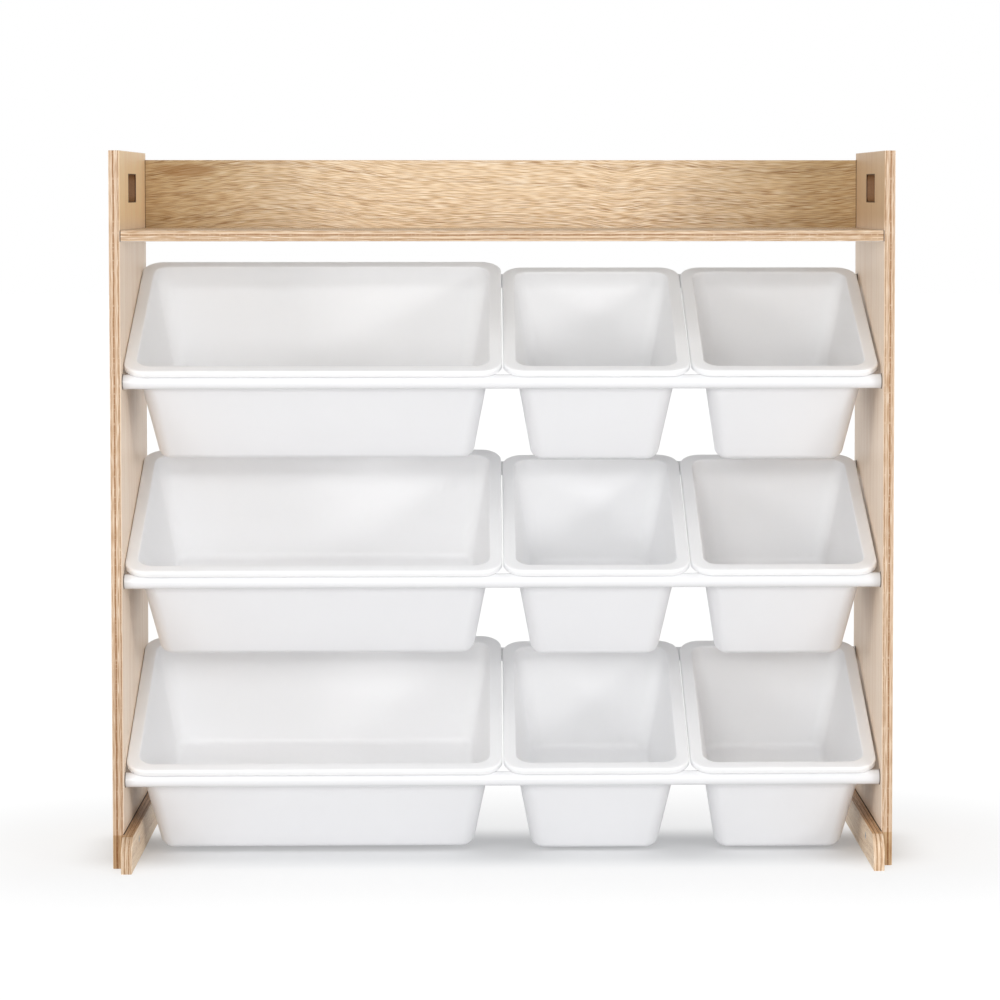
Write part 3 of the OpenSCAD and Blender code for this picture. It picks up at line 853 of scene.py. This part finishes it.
# %% [markdown]
# ## Bins
#
# A bin is one moulded shell. Seen in section, it starts at the middle of its inner floor, goes
# up the leaning inner wall, over the flat rim, down the skirt, back under the rim and down the
# outer wall to its underside. Each point of that section becomes a ring: a rectangle with
# round corners, drawn in from the rim's outline by the point's inset. Lofting through the
# rings gives the whole shell as one closed surface. A block with a thickness added to it could
# not have the flat rim, the skirt and corners that widen upwards all at once.

# %% Sizes of a bin
WALL = 0.0025
DRAFT = math.radians(9)
SKIRT = 0.007
OVERHANG = 0.0055
DEPTH = 0.1295
RIM_CORNER = 0.024
WALL_CORNER = 0.019
FLOOR_CORNER = 0.017
FILLET = 0.011
WALL_GAP = 0.0004
SEAT_GAP = 0.0003
RIM_ROUND = 0.002
FOOT_ROUND = 0.0006
LEAN = {"large_bin": math.radians(1.5), "centre_bin": 0.0, "right_bin": 0.0}

rim_level = rod_radius + SEAT_GAP + SKIRT
lip_height = DEPTH - WALL
wall_reach = (rod_radius + WALL_GAP) / math.cos(DRAFT)
rim_width = OVERHANG + wall_reach - (rim_level - WALL) * math.tan(DRAFT)


def wall_inset(height):
    """Inset of the outer wall at a height: it leans outwards by the draft."""
    return rim_width + (lip_height - height) * math.tan(DRAFT)


def wall_corner(height):
    """Corner radius of the outer wall, which grows evenly from the floor to the rim."""
    return FLOOR_CORNER + (WALL_CORNER - FLOOR_CORNER) * height / lip_height


fillet_inset = wall_inset(FILLET) + FILLET / math.cos(DRAFT)
print(f"rim {rim_width * 1000:.1f} mm wide, floor drawn in {fillet_inset * 1000:.1f} mm")

# %% The section of a bin
FLOOR_STEPS = 10
WALL_STEPS = 8
RIM_STEPS = 6
FOOT_STEPS = 3


def floor_arc(radius):
    """The round between floor and wall, from the floor up: inset, height and corner radius."""
    turn = np.linspace(0, math.pi / 2 - DRAFT, FLOOR_STEPS + 1)
    return np.stack([
        fillet_inset - radius * np.sin(turn),
        FILLET - radius * np.cos(turn),
        FLOOR_CORNER - FILLET + radius * np.sin(turn),
    ], axis=1)


def quarter_arc(inset, height, corner, radius, start, steps):
    """A quarter of a circle about (inset, height), from a start angle on, clockwise. An angle of
    zero points outwards and a right angle points up, and the corner radius follows the inset."""
    turn = np.radians(start) - np.linspace(0, math.pi / 2, steps + 1)
    out = radius * np.cos(turn)
    return np.stack([inset - out, height + radius * np.sin(turn), corner + out], axis=1)


def straight(first, last, steps):
    """Points between two points of the section, without the two themselves."""
    share = np.arange(1, steps)[:, None] / steps
    return first + (last - first) * share


def bin_section():
    """The whole section, from the inner floor over the rim to the underside."""
    inner_floor = floor_arc(FILLET - WALL)
    rim_middle = DEPTH - RIM_ROUND
    inside_inset = wall_inset(rim_middle) + WALL / math.cos(DRAFT) - RIM_ROUND
    inside_corner = wall_corner(DEPTH) - WALL + RIM_ROUND
    rim_inside = quarter_arc(inside_inset, rim_middle, inside_corner, RIM_ROUND, 180, RIM_STEPS)
    rim_outside = quarter_arc(RIM_ROUND, rim_middle, RIM_CORNER - RIM_ROUND,
                              RIM_ROUND, 90, RIM_STEPS)
    foot_level = DEPTH - SKIRT + FOOT_ROUND
    foot_outside = quarter_arc(FOOT_ROUND, foot_level, RIM_CORNER - FOOT_ROUND,
                               FOOT_ROUND, 0, FOOT_STEPS)
    foot_inside = quarter_arc(WALL - FOOT_ROUND, foot_level, RIM_CORNER - WALL + FOOT_ROUND,
                              FOOT_ROUND, -90, FOOT_STEPS)
    lip = np.array([[WALL, lip_height, RIM_CORNER - WALL], [rim_width, lip_height, WALL_CORNER]])
    outer_floor = floor_arc(FILLET)[::-1]
    return np.concatenate([
        inner_floor,
        straight(inner_floor[-1], rim_inside[0], WALL_STEPS),
        rim_inside, rim_outside, foot_outside, foot_inside, lip,
        straight(lip[-1], outer_floor[0], WALL_STEPS),
        outer_floor,
    ])


section = bin_section()
outer_start = len(section) - (FLOOR_STEPS + 1) - (WALL_STEPS - 1) - 1
print("section with", len(section), "points, its outer wall from point", outer_start)

# %% The rings of a bin
CORNER_STEPS = 14
SIDE_STEPS = 8


def bin_rings(width, length):
    """One rounded rectangle for each point of the section, drawn anticlockwise: four quarter
    circles, and evenly spaced points along the straight sides between them."""
    inset, height, corner = (value[:, None, None] for value in section.T)
    turn = np.radians(90) * (np.arange(4)[:, None] + np.arange(CORNER_STEPS + 1) / CORNER_STEPS)
    side_x = np.array([1, -1, -1, 1])[:, None]
    side_y = np.array([1, 1, -1, -1])[:, None]
    x = side_x * (width / 2 - inset - corner) + corner * np.cos(turn)
    y = side_y * (length / 2 - inset - corner) + corner * np.sin(turn)
    corners = np.stack([x, y], axis=-1)
    following = np.roll(corners, -1, axis=1)[:, :, :1]
    share = (np.arange(1, SIDE_STEPS) / SIDE_STEPS)[:, None]
    sides = corners[:, :, -1:] + (following - corners[:, :, -1:]) * share
    outline = np.concatenate([corners, sides], axis=2).reshape(len(section), -1, 2)
    level = np.broadcast_to(height, (*outline.shape[:2], 1))
    return np.concatenate([outline, level], axis=-1)


def hang(points, centre_x, length, lean, axis_y, axis_z):
    """Hangs a bin on its front rod: its rim passes the rod's axis by the overhang, and the whole
    bin is turned about that axis by the tilt of the rods and its own lean."""
    x, y, z = np.moveaxis(points, -1, 0)
    y, z = y + length / 2 - OVERHANG, z + rim_level - DEPTH
    cosine, sine = math.cos(tilt + lean), math.sin(tilt + lean)
    turned = [x + centre_x, axis_y + y * cosine - z * sine, axis_z + y * sine + z * cosine]
    return np.stack(turned, axis=-1)


print("each ring has", 4 * (CORNER_STEPS + SIDE_STEPS), "points")

# %% The nine shells
for tier in TIERS:
    axis_y, axis_z, _ = rod_axis(f"front_rod_{tier}")
    for kind, lean in LEAN.items():
        node = f"{kind}_{tier}"
        low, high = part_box(node)
        length = rod_span * (math.cos(lean) + math.sin(lean) * math.tan(DRAFT)) + 2 * OVERHANG
        rings = bin_rings(high.x - low.x, length)
        points = hang(rings, (low.x + high.x) / 2, length, lean, axis_y, axis_z)
        count, around, _ = points.shape
        inner_floor = list(range(around))
        underside = list(range(count * around - 1, (count - 1) * around - 1, -1))
        faces = loft_faces(count, around, closed=False) + [inner_floor, underside]
        shell = make_piece(f"{node}_shell", points, faces, bin_plastic, node, node)
        # The outer wall's points get the painted shade
        mark_points(shell, "outer_wall_shade", np.repeat(np.arange(count) >= outer_start, around))
        places = points.reshape(-1, 3)
        gap = max(np.abs(places.min(0) - low).max(), np.abs(places.max(0) - high).max())
        print(f"{node}: {count * around} points, box within {gap * 1000:.2f} mm of the frame's")

# %% [markdown]
# ## A floor that ends in white
#
# In a studio the rack stands on a pale sweep of paper that runs up behind it, so no horizon
# shows. A flat floor that starts to glow away from the rack gives the same picture. Close to the
# rack the paper has to stay paper, because the soft shadow there is what makes the rack stand,
# and in a strip under the bins the paper's colour is painted greyer still, a painted shadow. So
# the glow's share grows with the distance from that strip. A glowing floor would also light the
# rack from below far more than paper does, so every ray that isn't the camera's meets a weaker
# glow.

# %% The sheet of paper
FLOOR_SIZE = 40.0
floor_mesh = bpy.data.meshes.new("floor")
half = FLOOR_SIZE / 2
floor_corners = [(-half, -half, 0), (half, -half, 0), (half, half, 0), (-half, half, 0)]
floor_mesh.from_pydata(floor_corners, [], [(0, 1, 2, 3)])
floor = bpy.data.objects.new("floor", floor_mesh)
bpy.context.scene.collection.objects.link(floor)
floor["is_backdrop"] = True
print("floor of", FLOOR_SIZE, "m")

# %% The floor's finish
# The strip under the bins where a shadow is painted on the paper, and how dark and wide it is
# painted
CONTACT_FRONT, CONTACT_BACK = -0.06, 0.02
PAPER, PAPER_TINT = 0.95, (0.99, 1.0, 1.012)
PAPER_ROUGHNESS, PAPER_GLOSS = 0.6, 0.1
CONTACT_SHADE, CONTACT_REACH = 0.80, 0.10
GLOW, BOUNCE = 1.06, 0.66
NEAR_GLOW, ROUND_GLOW, SHADE_REACH = 0.16, 0.60, 0.09
FADE_START, FADE_END = 0.02, 0.50


def past(tree, value, middle, half):
    """How far a value lies outside the range of a half on each side of a middle, or 0."""
    outside = maths(tree, "SUBTRACT", apart(tree, value, middle), half)
    return maths(tree, "MAXIMUM", outside, 0.0)


floor_paint, tree, shader = new_material("floor_paint")
x, y, _ = object_point(tree)
contact_middle = (CONTACT_FRONT + CONTACT_BACK) / 2
contact_half = (CONTACT_BACK - CONTACT_FRONT) / 2
from_strip = {0: past(tree, x, 0.0, foot_low.x), 1: past(tree, y, contact_middle, contact_half)}
away = add(tree, "ShaderNodeCombineXYZ", from_strip).outputs[0]
distance = add(tree, "ShaderNodeVectorMath", {0: away}, operation="LENGTH").outputs["Value"]
# Painted shadow: the paper's colour darkens towards the strip under the bins
whiteness = remap(tree, distance, 0.0, CONTACT_REACH, CONTACT_SHADE, PAPER)
channels = {place: multiply(tree, whiteness, tint) for place, tint in enumerate(PAPER_TINT)}
tree.links.new(add(tree, "ShaderNodeCombineXYZ", channels).outputs[0], shader["Base Color"])
shader["Roughness"].default_value = PAPER_ROUGHNESS
shader["Specular IOR Level"].default_value = PAPER_GLOSS
is_seen = add(tree, "ShaderNodeLightPath").outputs["Is Camera Ray"]
brightness = maths(tree, "MULTIPLY_ADD", is_seen, 1.0 - BOUNCE, BOUNCE)
glow = add(tree, "ShaderNodeEmission", {"Strength": multiply(tree, brightness, GLOW)})
near_glow = remap(tree, distance, 0.0, SHADE_REACH, NEAR_GLOW, ROUND_GLOW)
paper_share = multiply(tree, maths(tree, "SUBTRACT", 1.0, near_glow),
                       remap(tree, distance, FADE_START, FADE_END, 1.0, 0.0))
faded = add(tree, "ShaderNodeMixShader", {0: maths(tree, "SUBTRACT", 1.0, paper_share)})
tree.links.new(tree.nodes["Principled BSDF"].outputs[0], faded.inputs[1])
tree.links.new(glow.outputs[0], faded.inputs[2])
tree.links.new(faded.outputs[0], tree.nodes["Material Output"].inputs["Surface"])
floor_mesh.materials.append(floor_paint)
print("the floor is white from", FADE_END, "m away")

# %% [markdown]
# ## The room's light
#
# White plastic shows every change of light, so most of the light is even and comes from the
# whole room. The camera sees a pure white background, while the rack is lit by less than that.

# %% The room
ROOM_LIGHT = 0.53
world = bpy.data.worlds.new("white_room")
bpy.context.scene.world = world
world.use_nodes = True
tree = world.node_tree
tree.nodes.clear()
seen = add(tree, "ShaderNodeBackground", {"Color": (1, 1, 1, 1), "Strength": 1.0})
lit = add(tree, "ShaderNodeBackground", {"Color": (1, 1, 1, 1), "Strength": ROOM_LIGHT})
path = add(tree, "ShaderNodeLightPath")
both = add(tree, "ShaderNodeMixShader", {0: path.outputs["Is Camera Ray"]})
tree.links.new(lit.outputs[0], both.inputs[1])
tree.links.new(seen.outputs[0], both.inputs[2])
output = add(tree, "ShaderNodeOutputWorld")
tree.links.new(both.outputs[0], output.inputs["Surface"])
print("the room lights the rack with", ROOM_LIGHT, "of what the camera sees")

# %% [markdown]
# ## Soft boxes
#
# A few large area lights give the bins their form. The main one stands beside the camera, low
# enough to shine into the bins, and a little to the left, so inside each bin the left part of the
# back wall is darker than the right part. A smaller one on each side models the side walls, one
# above lights the rims and the tray, and a weak one behind lifts the far rims. Each has a place,
# a size in metres and a power in watts.

# %% The soft boxes
SOFT_BOXES = {
    "left_soft_box": ((-2.5, -2.6, 0.9), 0.7, 18.0),
    "right_soft_box": ((2.5, -2.6, 0.9), 0.7, 26.0),
    "main_soft_box": ((-0.3, -3.9, 0.9), 1.4, 43.0),
    "high_soft_box": ((-0.5, -2.4, 2.7), 1.6, 13.0),
    "back_soft_box": ((0.0, 2.6, 0.9), 2.0, 6.0),
}
LIT_PLACE = (0.0, 0.0, 0.4)


def direction(place, aim):
    """The turn that points an object's -Z axis from a place to an aim, with its Y axis up."""
    return (Vector(aim) - Vector(place)).to_track_quat("-Z", "Y").to_euler()


def soft_box(name, place, size, power):
    """A square area light that stands at a place and faces the middle of the rack."""
    light = bpy.data.lights.new(name, "AREA")
    light.size = size
    light.energy = power
    lamp = bpy.data.objects.new(name, light)
    bpy.context.scene.collection.objects.link(lamp)
    lamp.location = place
    lamp.visible_camera = False
    lamp.rotation_euler = direction(place, LIT_PLACE)


for name, (place, size, power) in SOFT_BOXES.items():
    soft_box(name, place, size, power)
print("lit by", ", ".join(SOFT_BOXES))

# %% [markdown]
# ## The camera
#
# The picture was taken from in front with a long lens, from just above the shelf's height, so the
# inner faces of the side boards show and the shelf's top hardly does. It was cut off-centre, which
# a shift of the lens gives. Only a small shift is used, and the camera is aimed a little aside and
# down for the rest, because other views keep the same shift.

# %% The camera's place, aim and lens
CAMERA_PLACE = (-0.02223, -3.71830, 0.74208)
CAMERA_AIM = (0.06498, 0.0, 0.55208)
FOCAL_LENGTH, SENSOR = 118.67, 36.0
SHIFT = (-0.06, -0.14)
lens = bpy.data.cameras.new("camera")
lens.lens = FOCAL_LENGTH
lens.sensor_width = SENSOR
lens.shift_x, lens.shift_y = SHIFT
camera = bpy.data.objects.new("camera", lens)
bpy.context.scene.collection.objects.link(camera)
camera.location = CAMERA_PLACE
camera.rotation_euler = direction(CAMERA_PLACE, CAMERA_AIM)
bpy.context.scene.camera = camera
bpy.context.scene.view_settings.view_transform = "Standard"
print(f"camera {math.dist(CAMERA_PLACE, CAMERA_AIM):.2f} m from its aim")

# %% [markdown]
# ## Sizes, and the end
#
# Looks don't change a rack's size. At the end, the box of what shows is printed.

# %% The box of what shows
low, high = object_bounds()
print("looks from", low, "to", high)
